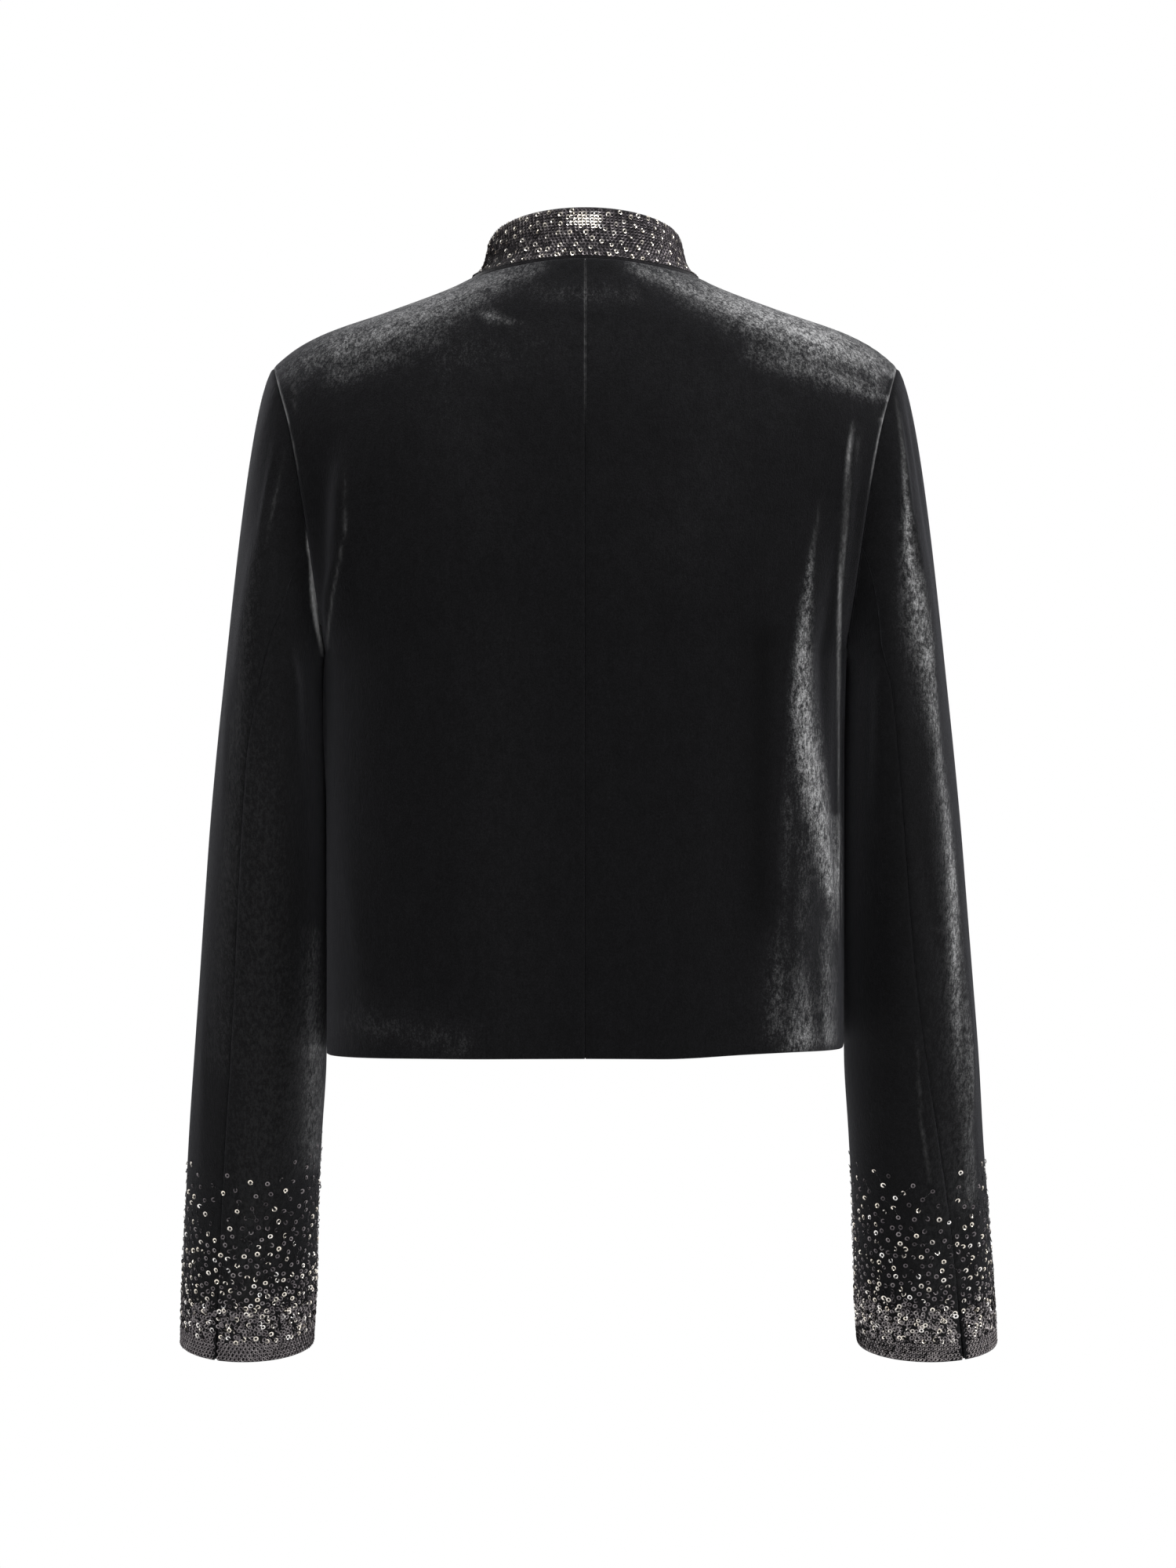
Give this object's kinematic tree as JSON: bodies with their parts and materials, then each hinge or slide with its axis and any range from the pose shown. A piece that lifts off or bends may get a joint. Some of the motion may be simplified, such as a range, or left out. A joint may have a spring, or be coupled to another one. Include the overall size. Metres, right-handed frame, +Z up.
{
  "type": "cropped velvet jacket",
  "caption": "Boxy cropped velvet jacket with a sequined stand collar and long two-piece sleeves with sequined cuffs, hollow and open at neck, hem and cuffs.",
  "frame": {"origin": "middle of the neck, level with the inner ends of the shoulder seams, where the wearer's neck and shoulders hold the jacket", "axes": "+Z up the wearer's spine, -Y the way the wearer faces, +X to the wearer's left"},
  "size_m": [0.5305, 0.234, 0.7334],
  "materials": {
    "velvet": "black pile velvet, deep and matte with a soft mottled sheen",
    "sequin_band": "small dark metallic ring sequins sewn on black cloth"
  },
  "bodies": {
    "root": {"back_left": "velvet", "front_left": "velvet", "upper_sleeve_left": "velvet", "under_sleeve_left": "velvet", "back_right": "velvet", "front_right": "velvet", "upper_sleeve_right": "velvet", "under_sleeve_right": "velvet", "collar": "sequin_band"}
  },
  "joints": []
}
